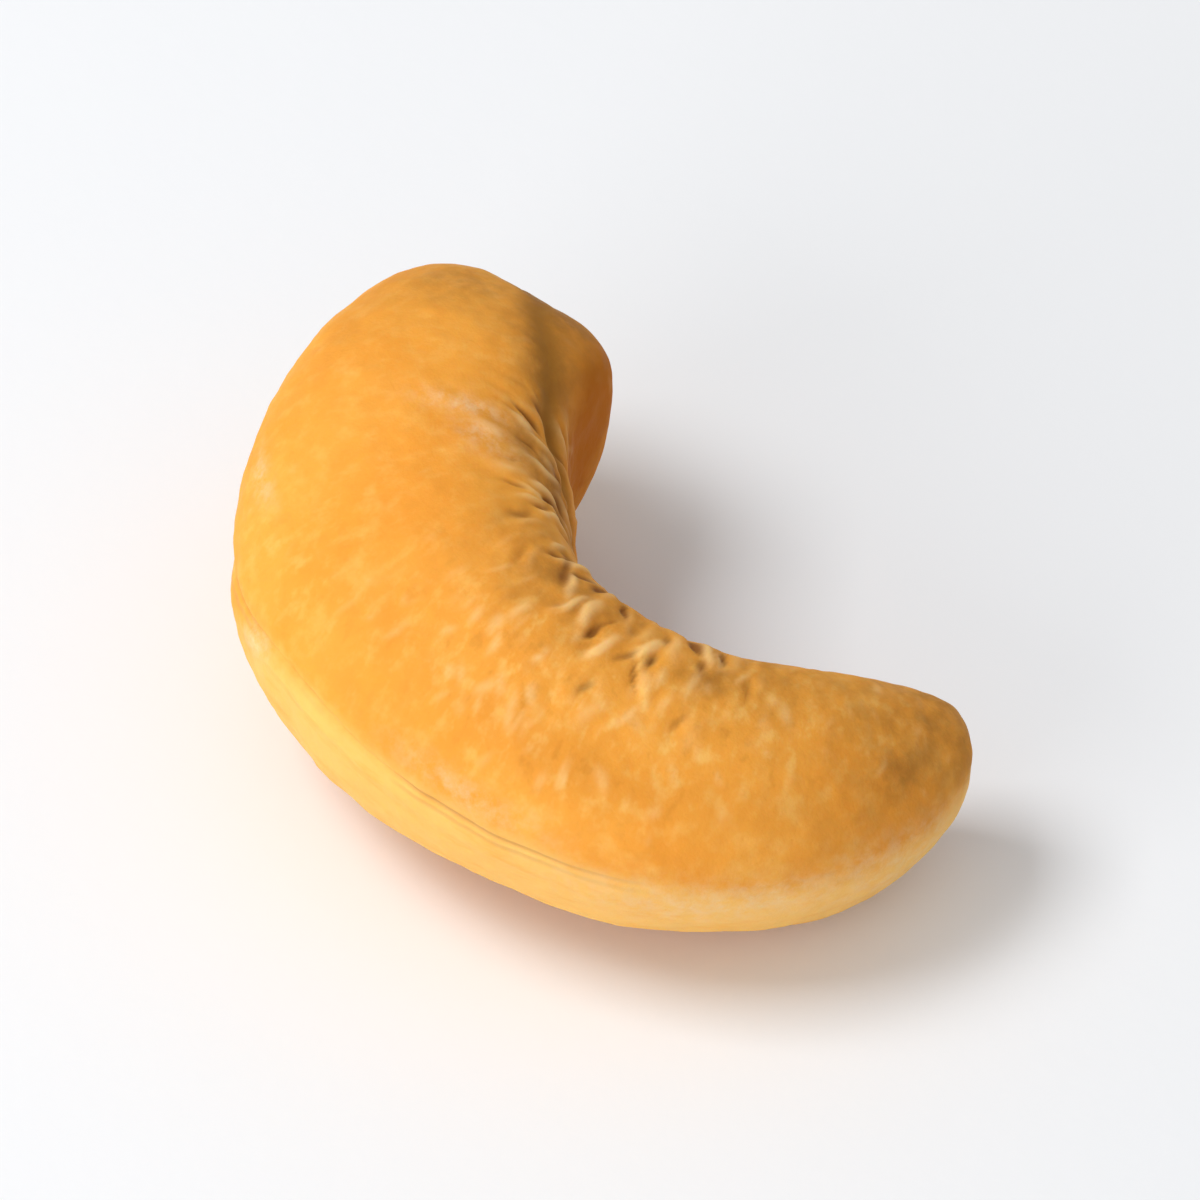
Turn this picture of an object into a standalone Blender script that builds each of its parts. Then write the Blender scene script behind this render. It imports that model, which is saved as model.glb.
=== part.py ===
"""Roasted cashew kernel, whole, lying on its side.

The kernel grew as one piece, so it is one closed solid: a body bent round an arc, with a broad lobe
at -X, a slimmer arm at +X, and the bay between them open to +Y. +Z is up, and the origin is on the
surface that the kernel lies on, under the middle of its box.

A place on the kernel is given by two numbers. t runs along the arc, from -1 at the lobe's tip to 1
at the arm's tip. around turns about the body, from 0 in the crease of the bay, over the top at a
quarter turn, to half a turn at the seam on the back. Below the seam it is negative.
"""
import math

import bmesh
import bpy
from mathutils import Vector, noise

MM = 0.001

# Driving dimensions of the body, in millimetres.
# A triple holds the values at the lobe, the middle and the arm.
BEND_RADIUS = 11.5
BEND_ANGLE = math.radians(141)
BACK_REACH = (5.45, 7.5, 5.5)
BAY_REACH = (7.75, 1.3, 2.3)
TOP_HEIGHT = (3.95, 4.4, 3.1)
SEAM_HEIGHT = (7.5, 6.3, 5.1)

# Stations of the triples, as values of t, and where the bows through them go level
STATION = 0.8
BOW_END = 0.9

# Corner of the bay: filled out where the lobe leaves it
CORNER_PLACE = -0.19
CORNER_LENGTH = 0.2
CORNER_REACH = 1.0

# Bluntness of the two tips, and fullness of the sections
LOBE_BLUNTNESS = 2.65
ARM_BLUNTNESS = 3.7
BELLY_KNEE = 0.62
SHOULDER = 0.5
TOP_FULLNESS = 0.03
BELLY_FULLNESS = 0.09

# Heel: the lower half swells at the back, towards the lobe
HEEL_PLACE = (-0.26, math.radians(-152))
HEEL_SPREAD = (0.3, math.radians(35))
HEEL_HEIGHT = 0.6

# Seam between the halves: a groove round the back and a crease through the bay,
# which become alike where the body is slimmer than the blend radius, towards the tips
SEAM_WIDTH = 0.38
SEAM_DEPTH = 0.28
CREASE_WIDTH = 0.46
CREASE_DEPTH = 0.42
BLEND_RADIUS = 4.0

# Where the body is slimmer than the soft radius, the groove gets wider and shallower towards the tips
SOFT_RADIUS = 5.0
SOFT_WIDENING = 1.2
SOFT_SHALLOWING = 0.65

# Towards the lobe the seam rises on the back and drops again behind the lobe, and the crease climbs up
# the side of the bay, at first out of the bay and then on along the lobe
SEAM_RISE = math.radians(12)
RISE_START, RISE_RUN = 0.5, 0.7
SEAM_DROP = math.radians(24)
DROP_START, DROP_RUN = -0.1, 0.4
BAY_CLIMB = math.radians(34)
BAY_CLIMB_START, BAY_CLIMB_RUN = 0.05, 0.45
LOBE_CLIMB = math.radians(26)
LOBE_CLIMB_START, LOBE_CLIMB_RUN = -0.35, 0.5

# At the lobe's tip the seam and the crease meet in an arch that passes above the tip
ARCH_HEIGHT = 0.9
ARCH_SPREAD = 2.5

# Radial wrinkles along the bay's edge, swaying a little. They lie beside the crease at the lobe
# and turn away from it towards the arm.
WRINKLE_PITCH = 0.1
WRINKLE_DEPTH = 0.24
WRINKLE_ENDS = (-0.5, 0.65)
WRINKLE_FADE = 0.3
WRINKLE_PLACE = 0.4
WRINKLE_TURN = 1.0
TURN_START, TURN_RUN = -0.47, 0.75
WRINKLE_SPREAD = 0.38
SWAY = 2.0
SWAY_FREQUENCY = 3.0

# Slow unevenness of the whole surface
SWELL_HEIGHT = 0.2
SWELL_LENGTH = 4.6

# The relief dies away where the surface turns downwards
BELLY_FADE = 2.0

# Three low spots that the kernel rests on
FOOT_STATIONS = (-0.66, 0.0, 0.66)
FOOT_LENGTH = 0.16
FOOT_EDGE = 0.55
FOOT_LIFT = 0.3
FOOT_SINK = 0.1

# Mesh: rings are closer in the middle, and lines along the body are closer at the seam
RINGS = 84
SEGMENTS = 64
MIDDLE_CROWDING = 0.6
SEAM_CROWDING = 0.5

# Finish: golden roast, linear colour
ROAST_COLOUR = (0.87, 0.42, 0.10, 1.0)
ROAST_ROUGHNESS = 0.45


def smooth(x):
    """Smooth step from 0 to 1 while x goes from 0 to 1."""
    x = max(0.0, min(1.0, x))
    return x * x * (3 - 2 * x)


def bell(x, width):
    """Smooth bump of height 1 at x = 0."""
    return math.exp(-(x / width) ** 2)


def bowed(triple, t):
    """Value at t of a smooth bow through a triple."""
    lobe, middle, arm = triple
    s = max(-BOW_END, min(BOW_END, t)) / STATION
    return middle + (arm - lobe) / 2 * s + ((arm + lobe) / 2 - middle) * s * s


def tip_rounding(t):
    """Share of the full section at t, which falls to 0 at both tips."""
    bluntness = LOBE_BLUNTNESS if t < 0 else ARM_BLUNTNESS
    return math.sqrt(max(0.0, 1 - abs(t) ** bluntness))


def belly_rounding(t):
    """The same for the depth of the lower half, which stays full further out."""
    past_knee = max(0.0, (abs(t) - BELLY_KNEE) / (1 - BELLY_KNEE))
    return math.sqrt(max(0.0, 1 - past_knee ** 2))


def bay_reach(t):
    """Reach from the arc to the side of the bay at t, in millimetres."""
    return bowed(BAY_REACH, t) + CORNER_REACH * bell(t - CORNER_PLACE, CORNER_LENGTH)


def section_angle(t, around):
    """Angle in the section, counted from the bay's side, for a place counted from the crease."""
    climb = BAY_CLIMB * smooth((BAY_CLIMB_START - t) / BAY_CLIMB_RUN)
    climb += LOBE_CLIMB * smooth((LOBE_CLIMB_START - t) / LOBE_CLIMB_RUN)
    rise = SEAM_RISE * smooth((RISE_START - t) / RISE_RUN) - SEAM_DROP * smooth((DROP_START - t) / DROP_RUN)
    return around + climb * (1 + math.cos(around)) / 2 - rise * (1 - math.cos(around)) / 2


def heel_swelling(t, angle):
    """Height of the heel at a place, in millimetres."""
    off_angle = math.remainder(angle - HEEL_PLACE[1], math.tau)
    return HEEL_HEIGHT * bell(t - HEEL_PLACE[0], HEEL_SPREAD[0]) * bell(off_angle, HEEL_SPREAD[1])


def section_point(t, around):
    """Reach towards the bay and height above the surface, in millimetres."""
    angle = section_angle(t, around)
    across, upward = math.cos(angle), math.sin(angle)
    back, bay = bowed(BACK_REACH, t), bay_reach(t)
    fullness = TOP_FULLNESS if upward > 0 else BELLY_FULLNESS
    reach = (bay + back) / 2 * across * (1 + fullness * upward ** 2)
    reach += (bay - back) / 2 * (1 - SHOULDER * upward ** 2)
    seam_height = bowed(SEAM_HEIGHT, t)
    if upward > 0:
        depth = bowed(TOP_HEIGHT, t) * tip_rounding(t)
    else:
        depth = seam_height * belly_rounding(t)
    swelling = heel_swelling(t, angle)
    reach = tip_rounding(t) * (reach + swelling * across)
    return reach, seam_height + (depth + swelling * tip_rounding(t)) * upward


def body_point(t, around):
    """Point of the smooth body, in metres, with the arc's centre at the origin."""
    reach, height = section_point(t, around)
    bend = t * BEND_ANGLE / 2
    radius = BEND_RADIUS - reach
    return Vector((radius * math.sin(bend), -radius * math.cos(bend), height)) * MM


def seam_relief(t, around):
    """Groove between the two halves, round the back and through the bay."""
    radius = bowed(SEAM_HEIGHT, t) * tip_rounding(t)
    arch = ARCH_HEIGHT * bell(radius, ARCH_SPREAD) if t < 0 else 0.0
    height_over_seam = radius * math.sin(around) - arch
    in_bay = (1 + math.cos(around) * smooth(radius / BLEND_RADIUS)) / 2
    softness = 1 - smooth(radius / SOFT_RADIUS)
    depth = (SEAM_DEPTH + (CREASE_DEPTH - SEAM_DEPTH) * in_bay) * (1 - SOFT_SHALLOWING * softness)
    width = (SEAM_WIDTH + (CREASE_WIDTH - SEAM_WIDTH) * in_bay) * (1 + SOFT_WIDENING * softness)
    return -depth * bell(height_over_seam, width)


def wrinkle_relief(t, around):
    """Wrinkles that run out of the bay over both halves."""
    start, end = WRINKLE_ENDS
    along = smooth((t - start) / WRINKLE_FADE) * smooth((end - t) / WRINKLE_FADE)
    place = WRINKLE_PLACE + WRINKLE_TURN * smooth((t - TURN_START) / TURN_RUN)
    across = bell(abs(around) - place, WRINKLE_SPREAD)
    sway = SWAY * noise.noise(Vector((SWAY_FREQUENCY * t, around, 0)))
    wave = (1 + math.cos(math.tau * t / WRINKLE_PITCH + sway)) / 2
    return -WRINKLE_DEPTH * along * across * wave


def relief(t, around, point, normal):
    """Height of the relief over the smooth body, in millimetres. It fades out on the belly."""
    swell = SWELL_HEIGHT * noise.noise(point / (SWELL_LENGTH * MM))
    height = seam_relief(t, around) + wrinkle_relief(t, around) + swell
    return height * smooth(BELLY_FADE * (1 + normal.z))


def foot_lift(t, around):
    """How far the belly lifts off the surface between the three low spots, in millimetres.

    The lift dies away towards the tips, where the body closes.
    """
    nearest = max(bell(t - station, FOOT_LENGTH) for station in FOOT_STATIONS)
    low = smooth((-math.sin(section_angle(t, around)) - FOOT_EDGE) / (1 - FOOT_EDGE))
    return FOOT_LIFT * (1 - nearest) * low * tip_rounding(t)


def body_place(unit):
    """The place (t, around) for a point of the unit sphere whose poles are the tips."""
    t = unit.z * (MIDDLE_CROWDING + (1 - MIDDLE_CROWDING) * unit.z ** 2)
    turn = math.atan2(unit.y, unit.x)
    return t, turn - SEAM_CROWDING * math.sin(2 * turn) / 2


def shape_kernel(bm):
    """Turns the unit sphere in bm into the kernel."""
    places = {vert: body_place(vert.co) for vert in bm.verts}
    for vert, (t, around) in places.items():
        vert.co = body_point(t, around)
    bm.normal_update()
    normals = {vert: vert.normal.copy() for vert in bm.verts}
    for vert, (t, around) in places.items():
        vert.co += normals[vert] * relief(t, around, vert.co, normals[vert]) * MM
        vert.co.z += foot_lift(t, around) * MM
        vert.co.z = max(0.0, vert.co.z - FOOT_SINK * MM)


def centre_over_origin(bm):
    """Moves the kernel so that the middle of its box stands over the origin."""
    xs = [vert.co.x for vert in bm.verts]
    ys = [vert.co.y for vert in bm.verts]
    middle = Vector((min(xs) + max(xs), min(ys) + max(ys), 0)) / 2
    bmesh.ops.translate(bm, verts=bm.verts, vec=-middle)


def roasted_material():
    """Golden, dry-roasted surface with a slight oily sheen."""
    material = bpy.data.materials.new("roasted kernel")
    material.use_nodes = True
    shader = material.node_tree.nodes["Principled BSDF"]
    shader.inputs["Base Color"].default_value = ROAST_COLOUR
    shader.inputs["Roughness"].default_value = ROAST_ROUGHNESS
    shader.inputs["Metallic"].default_value = 0.0
    return material


def build_kernel():
    """Adds the kernel to the scene."""
    bm = bmesh.new()
    bmesh.ops.create_uvsphere(bm, u_segments=SEGMENTS, v_segments=RINGS, radius=1)
    shape_kernel(bm)
    centre_over_origin(bm)
    mesh = bpy.data.meshes.new("kernel")
    bm.to_mesh(mesh)
    bm.free()
    mesh.shade_smooth()
    mesh.materials.append(roasted_material())
    kernel = bpy.data.objects.new("kernel", mesh)
    bpy.context.scene.collection.objects.link(kernel)
    return kernel


for leftover in list(bpy.data.objects):
    bpy.data.objects.remove(leftover)
build_kernel()
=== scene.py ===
"""Roasted cashew kernel lying on its side, dressed for a plain studio picture.

The kernel grew as one piece, so it is one closed shell: a body bent round an arc, with a broad lobe at
-X, a slimmer arm at +X, and the bay between them open to +Y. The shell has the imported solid's form, from
the same driving sizes, on a finer mesh that also carries the seam's fine lines, the pits and folds along
the bay's edge, and the mottles of the skin.
"""
import logging
import math
import random
from dataclasses import dataclass, field
from enum import Enum

import bmesh
import bpy
from mathutils import Matrix, Vector, noise
from mathutils.kdtree import KDTree


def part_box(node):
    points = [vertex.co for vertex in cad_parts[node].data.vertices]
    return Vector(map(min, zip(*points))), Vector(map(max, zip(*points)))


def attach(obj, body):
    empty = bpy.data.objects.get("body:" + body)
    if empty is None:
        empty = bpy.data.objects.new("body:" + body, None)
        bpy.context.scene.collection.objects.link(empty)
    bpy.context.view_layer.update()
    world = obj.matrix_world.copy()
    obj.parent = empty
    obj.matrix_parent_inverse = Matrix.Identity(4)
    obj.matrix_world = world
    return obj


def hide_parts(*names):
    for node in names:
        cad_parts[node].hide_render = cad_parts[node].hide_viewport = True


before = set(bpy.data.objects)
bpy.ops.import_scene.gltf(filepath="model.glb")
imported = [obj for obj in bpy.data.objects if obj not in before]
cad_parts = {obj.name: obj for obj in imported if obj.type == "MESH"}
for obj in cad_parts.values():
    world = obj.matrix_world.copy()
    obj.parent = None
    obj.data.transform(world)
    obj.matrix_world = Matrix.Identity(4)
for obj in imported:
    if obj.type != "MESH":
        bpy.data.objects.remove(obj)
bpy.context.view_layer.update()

log = logging.getLogger("kernel")

MM = 0.001
SKIN_MAP = "skin"

# Place of the seam's second fine line, in millimetres over the first
SECOND_LINE = -0.33

Colour = tuple[float, float, float, float]
Range = tuple[float, float]
Triple = tuple[float, float, float]
Socket = bpy.types.NodeSocket
Tree = bpy.types.NodeTree


def smooth(x: float) -> float:
    """Smooth step from 0 to 1 while x goes from 0 to 1."""
    x = max(0.0, min(1.0, x))
    return x * x * (3 - 2 * x)


def bell(x: float, width: float) -> float:
    """Smooth bump of height 1 at x = 0."""
    return math.exp(-(x / width) ** 2)


class Mark(Enum):
    """Marks on the kernel's mesh, a number at every point, that its finish reads."""

    OVER_SEAM = "over_seam"
    RIM = "rim"
    BAY = "bay"
    LINE = "line"
    PIT = "pit"
    FOLD = "fold"
    MOTTLED = "mottled"
    TOAST = "toast"
    SCUFF = "scuff"
    # Deeper orange: painted shade in the bay, and some real deeper roast on the top
    BLUSH_AND_SHADE = "blush_and_shade"


class Grown(Enum):
    """The two halves that grew together along the seam."""

    UPPER = 1
    LOWER = -1


@dataclass(frozen=True)
class Ramp:
    """A level that goes smoothly from low to high while a value goes from the start to the end."""

    start: float
    end: float
    low: float = 0.0
    high: float = 1.0

    def at(self, value: float) -> float:
        """Level at a value."""
        return self.low + (self.high - self.low) * smooth((value - self.start) / (self.end - self.start))


@dataclass(frozen=True)
class Waves:
    """Smooth random waves along the arc, between -1 and 1, read from the noise along a track of their own."""

    count: float
    track: Range

    def at(self, t: float) -> float:
        """Height of the waves at a place along the arc."""
        return noise.noise(Vector((self.count * t, *self.track)))


@dataclass(frozen=True)
class Place:
    """A place on the kernel.

    t runs along the arc, from -1 at the lobe's tip to 1 at the arm's tip. around turns about the body,
    from 0 in the crease of the bay, over the top at a quarter turn, to half a turn at the seam on the
    back. Below the seam it is negative.
    """

    t: float
    around: float


@dataclass(frozen=True)
class Bow:
    """A size that bows smoothly along the arc, through its values at the lobe, the middle and the arm."""

    lobe: float
    middle: float
    arm: float
    station: float = 0.8
    end: float = 0.9

    def at(self, t: float) -> float:
        """Value at a place along the arc.

        Args:
            t: Place along the arc, -1 to 1.

        Returns:
            The size there, level beyond the bow's ends.
        """
        s = max(-self.end, min(self.end, t)) / self.station
        slope = (self.arm - self.lobe) / 2
        sag = (self.arm + self.lobe) / 2 - self.middle
        return self.middle + slope * s + sag * s * s


@dataclass(frozen=True)
class Patch:
    """A soft-edged patch round a place, as wide as its spreads."""

    t: float
    around: float
    t_spread: float
    around_spread: float
    strength: float = 1.0
    lean: float = 0.0
    girth_growth: float = 2.5

    def at(self, place: Place) -> float:
        """Strength of the patch at a place.

        Args:
            place: Where to read the patch.

        Returns:
            The patch's strength at its middle, falling to 0 outside it. Turns count less close to the tips,
            where the body is thin.
        """
        girth = min(1.0, self.girth_growth * math.sqrt(max(0.0, 1 - place.t ** 2)))
        turn = girth * math.remainder(place.around - self.around, math.tau)
        along = place.t - self.t - self.lean * turn
        return self.strength * bell(along, self.t_spread) * bell(turn, self.around_spread)


def strongest(patches: tuple[Patch, ...], place: Place) -> float:
    """Strength of the strongest of some patches at a place."""
    return max(patch.at(place) for patch in patches)


@dataclass(frozen=True)
class KernelForm:
    """Driving sizes of the smooth body, in millimetres and radians, and the body that they give."""

    bend_radius: float = 11.5
    bend_angle: float = math.radians(141)
    back_reach: Bow = Bow(5.45, 7.5, 5.5)
    bay_reach: Bow = Bow(7.75, 1.3, 2.3)
    top_height: Bow = Bow(3.95, 4.4, 3.1)
    seam_height: Bow = Bow(7.5, 6.3, 5.1)
    corner_place: float = -0.19
    corner_length: float = 0.2
    corner_reach: float = 1.0
    lobe_bluntness: float = 2.65
    arm_bluntness: float = 3.7
    belly_knee: float = 0.62
    shoulder: float = 0.5
    top_fullness: float = 0.03
    belly_fullness: float = 0.09
    heel: Patch = Patch(-0.26, math.radians(-152), 0.3, math.radians(35), 0.6)
    seam_rise: Ramp = Ramp(0.5, -0.2, high=math.radians(12))
    seam_drop: Ramp = Ramp(-0.1, -0.5, high=math.radians(24))
    bay_climb: Ramp = Ramp(0.05, -0.4, high=math.radians(34))
    lobe_climb: Ramp = Ramp(-0.35, -0.85, high=math.radians(26))
    swell_height: float = 0.2
    swell_length: float = 4.6
    foot_stations: tuple[float, ...] = (-0.66, 0.0, 0.66)
    foot_length: float = 0.16
    foot_zone: Ramp = Ramp(0.55, 1.0)
    foot_lift: float = 0.3
    foot_sink: float = 0.1

    def tip_rounding(self, t: float) -> float:
        """Share of the full section at t, which falls to 0 at both tips."""
        bluntness = self.lobe_bluntness if t < 0 else self.arm_bluntness
        return math.sqrt(max(0.0, 1 - abs(t) ** bluntness))

    def belly_rounding(self, t: float) -> float:
        """The same for the depth of the lower half, which stays full further out."""
        past_knee = max(0.0, (abs(t) - self.belly_knee) / (1 - self.belly_knee))
        return math.sqrt(max(0.0, 1 - past_knee ** 2))

    def section_angle(self, place: Place) -> float:
        """Angle in the section, counted from the bay's side.

        Args:
            place: A place, whose own turn is counted from the crease.

        Returns:
            The angle in radians, after the crease's climb and the seam's rise towards the lobe.
        """
        climb = self.bay_climb.at(place.t) + self.lobe_climb.at(place.t)
        rise = self.seam_rise.at(place.t) - self.seam_drop.at(place.t)
        towards_bay = (1 + math.cos(place.around)) / 2
        return place.around + climb * towards_bay - rise * (1 - towards_bay)

    def point(self, place: Place) -> Vector:
        """Point of the smooth body.

        Args:
            place: Where on the body.

        Returns:
            The point in metres, with the arc's centre over the origin.
        """
        t = place.t
        angle = self.section_angle(place)
        across, upward = math.cos(angle), math.sin(angle)
        back = self.back_reach.at(t)
        bay = self.bay_reach.at(t) + self.corner_reach * bell(t - self.corner_place, self.corner_length)
        fullness = self.top_fullness if upward > 0 else self.belly_fullness
        reach = (bay + back) / 2 * across * (1 + fullness * upward ** 2)
        reach += (bay - back) / 2 * (1 - self.shoulder * upward ** 2)
        seam_height = self.seam_height.at(t)
        rounding = self.tip_rounding(t)
        depth = self.top_height.at(t) * rounding if upward > 0 else seam_height * self.belly_rounding(t)
        swelling = self.heel.at(Place(t, angle))
        radius = self.bend_radius - rounding * (reach + swelling * across)
        height = seam_height + (depth + swelling * rounding) * upward
        bend = t * self.bend_angle / 2
        return Vector((radius * math.sin(bend), -radius * math.cos(bend), height)) * MM

    def swell(self, point: Vector) -> float:
        """Slow unevenness of the whole surface at a point, in millimetres."""
        return self.swell_height * noise.noise(point / (self.swell_length * MM))

    def foot_rise(self, place: Place) -> float:
        """How far the belly lifts off the surface between its three low spots.

        Args:
            place: Where on the body.

        Returns:
            The lift in millimetres, which dies away towards the tips.
        """
        nearest = max(bell(place.t - station, self.foot_length) for station in self.foot_stations)
        low = self.foot_zone.at(-math.sin(self.section_angle(place)))
        return self.foot_lift * (1 - nearest) * low * self.tip_rounding(place.t)


@dataclass(frozen=True)
class Seam:
    """The seam between the two halves: fine lines round the back and a crease through the bay.

    Ramps along the arc go by t, those across the seam by millimetres over it, and those of a side by the
    share with which a place faces the bay.
    """

    form: KernelForm
    full_radius: Ramp = Ramp(0.0, 4.0)
    arch_height: float = 0.9
    arch_spread: float = 2.5
    wavering: Waves = Waves(9.0, (0.3, 0.0))
    back_waver: float = 0.08
    bay_waver: float = 0.16
    valley_depth: float = 0.1
    valley_width: float = 0.5
    line_depth: float = 0.035
    line_width: float = 0.1
    second_line_depth: float = 0.03
    showing: Ramp = Ramp(0.2, 0.55, low=1.0, high=0.15)
    lines_start: Ramp = Ramp(-0.8, -0.55)
    line_side: Ramp = Ramp(0.35, 0.65)
    gaps: Waves = Waves(7.0, (0.7, 2.0))
    gap_edge: Ramp = Ramp(-0.375, 0.25)
    bead_height: float = 0.07
    bead_top: Ramp = Ramp(0.0, -0.3)
    bead_foot: Ramp = Ramp(-1.3, -0.8)
    lip: Patch = Patch(-0.1, math.pi, 0.2, 1.0, 0.14)
    lip_edge: Ramp = Ramp(0.0, 0.16)
    lip_top: Ramp = Ramp(2.2, 0.2)
    rim_rise: Ramp = Ramp(-0.35, -0.05, high=0.7)
    rim_swell: float = 0.8
    rim_swell_place: float = 0.2
    rim_swell_length: float = 0.33
    rim_softness: float = 2.0
    rim_foot: Ramp = Ramp(-6.2, -2.2)
    rim_side: Ramp = Ramp(0.7, 0.3)
    rim_paleness: Ramp = Ramp(-0.35, -0.05, low=0.55)
    crease_depth: float = 0.3
    crease_width: float = 0.7
    crease_fullness: Ramp = Ramp(-0.3, -0.55, low=1.0, high=0.3)
    fissure_depth: float = 0.14
    fissure_width: float = 0.16
    fissure_start: Ramp = Ramp(-0.42, -0.17)
    fissure_end: Ramp = Ramp(0.72, 0.47)
    tip_relief: float = 0.2

    def radius(self, t: float) -> float:
        """Rough radius of the body at t, in millimetres."""
        return self.form.seam_height.at(t) * self.form.tip_rounding(t)

    def thickness(self, t: float) -> float:
        """Share of the full radius at t: 0 at the tips and 1 over most of the arc."""
        return self.full_radius.at(self.radius(t))

    def bay_share(self, place: Place) -> float:
        """How far a place faces the bay: 1 on its side, 0 on the back, and a half round the tips."""
        return (1 + math.cos(place.around) * self.thickness(place.t)) / 2

    def height_over(self, place: Place) -> float:
        """Distance of a place from the seam.

        Args:
            place: Where on the body.

        Returns:
            The distance along the surface in millimetres, positive on the upper half.
        """
        radius = self.radius(place.t)
        arch = self.arch_height * bell(radius, self.arch_spread) if place.t < 0 else 0.0
        waver = (self.back_waver + self.bay_waver * self.bay_share(place)) * self.wavering.at(place.t)
        return radius * math.sin(place.around) - arch + waver * self.thickness(place.t)

    def sharpness(self, place: Place) -> float:
        """How sharp the fine lines are, since they come and go.

        Args:
            place: Where on the body.

        Returns:
            1 where they are sharpest. In the bay that is between the lobe and the arm. There are none at the
            tips, nor on the back of the lobe's end, and they are faint on the back of the arm.
        """
        t = place.t
        in_bay = self.fissure_start.at(t) * self.fissure_end.at(t)
        on_back = self.lines_start.at(t) * self.showing.at(t)
        share = self.line_side.at(self.bay_share(place))
        broken = self.gap_edge.at(self.gaps.at(t))
        return self.thickness(t) * broken * (in_bay * share + on_back * (1 - share))

    def rim(self, place: Place) -> float:
        """How far a place is in the pale rim.

        Args:
            place: Where on the body.

        Returns:
            1 well inside the rim, which is a broad band under the seam and, past the lobe, some way over it,
            and 0 outside it and in the bay.
        """
        over = self.height_over(place)
        edge = self.rim_rise.at(place.t)
        edge += self.rim_swell * bell(place.t - self.rim_swell_place, self.rim_swell_length)
        inside = smooth((edge - over) / self.rim_softness) * self.rim_foot.at(over)
        return inside * self.rim_paleness.at(place.t) * self.rim_side.at(self.bay_share(place))

    def back_relief(self, place: Place) -> float:
        """Height of the seam's relief on the back.

        Args:
            place: Where on the body.

        Returns:
            The height in millimetres of a valley with two fine lines, a bead under it and a lip over it.
        """
        over = self.height_over(place)
        shown, sharp = self.showing.at(place.t), self.sharpness(place)
        height = -self.valley_depth * shown * bell(over, self.valley_width)
        height -= self.line_depth * sharp * bell(over, self.line_width)
        height -= self.second_line_depth * sharp * bell(over - SECOND_LINE, self.line_width)
        height += self.bead_height * shown * self.bead_top.at(over) * self.bead_foot.at(over)
        return height + self.lip.at(place) * self.lip_edge.at(over) * self.lip_top.at(over)

    def bay_relief(self, place: Place) -> float:
        """Height of the seam's relief in the bay.

        Args:
            place: Where on the body.

        Returns:
            The height in millimetres of a crease with a fissure in it, which is negative.
        """
        over = self.height_over(place)
        depth = self.crease_depth * bell(over, self.crease_width)
        depth += self.fissure_depth * self.sharpness(place) * bell(over, self.fissure_width)
        return -depth * self.crease_fullness.at(place.t)

    def relief(self, place: Place) -> float:
        """Height of the seam's relief over the smooth body.

        Args:
            place: Where on the body.

        Returns:
            The height in millimetres, shallow at the tips.
        """
        bay = self.bay_share(place)
        height = self.bay_relief(place) * bay + self.back_relief(place) * (1 - bay)
        return height * (self.tip_relief + (1 - self.tip_relief) * self.thickness(place.t))


@dataclass(frozen=True)
class Stroke:
    """A short soft-edged mark that lies on the skin. Its sizes are in metres."""

    middle: Vector
    along: Vector
    length: float
    width: float
    strength: float
    end: float = 2.2

    def at(self, point: Vector) -> float:
        """Strength of the stroke at a point.

        Args:
            point: The point in metres.

        Returns:
            The stroke's strength at its middle, falling to 0 outside it.
        """
        off = point - self.middle
        reach = off.dot(self.along)
        aside = (off - self.along * reach).length
        return self.strength * bell(reach, self.length) * bell(aside, self.width)

    def reach(self) -> float:
        """Distance from its middle within which the stroke shows."""
        return self.end * self.length


@dataclass(frozen=True)
class Brush:
    """Lays strokes across the body, with outlines that waver by millimetres."""

    form: KernelForm
    step: float = 0.05
    waver_length: float = 0.7
    waver_reach: float = 0.16
    waver_seed: int = 7

    def stroke(self, place: Place, lean: float, size: Range, strength: float) -> Stroke:
        """Makes a stroke at a place.

        Args:
            place: The stroke's middle.
            lean: How far it leans along the arc, as t to a radian.
            size: Its half length and half width in millimetres.
            strength: Its strength.

        Returns:
            The stroke.
        """
        ahead = self.form.point(Place(place.t + lean * self.step, place.around + self.step))
        behind = self.form.point(Place(place.t - lean * self.step, place.around - self.step))
        along = (ahead - behind).normalized()
        return Stroke(self.form.point(place), along, size[0] * MM, size[1] * MM, strength)

    def waver(self, point: Vector) -> Vector:
        """Point moved a little, by noise that follows the seed, which makes the strokes' outlines uneven."""
        return point + noise.noise_vector(point / (self.waver_length * MM)) * self.waver_reach * MM


def lay(strokes: list[Stroke], skin: KDTree, count: int) -> list[float]:
    """Lays strokes on the skin.

    Args:
        strokes: The strokes.
        skin: The points of the skin.
        count: Number of those points.

    Returns:
        Strength of the strongest stroke at each point.
    """
    strengths = [0.0] * count
    for stroke in strokes:
        for point, index, _ in skin.find_range(stroke.middle, stroke.reach()):
            strengths[index] = max(strengths[index], stroke.at(point))
    return strengths


@dataclass(frozen=True)
class Limits:
    """Limits of the random draws for one kind of stroke, with its sizes in millimetres."""

    t_slip: Range
    turn_slip: Range
    lean: Range
    length: Range
    width: Range

    def size(self, draw: random.Random) -> Range:
        """Draws a half length and a half width."""
        return draw.uniform(*self.length), draw.uniform(*self.width)


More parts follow.
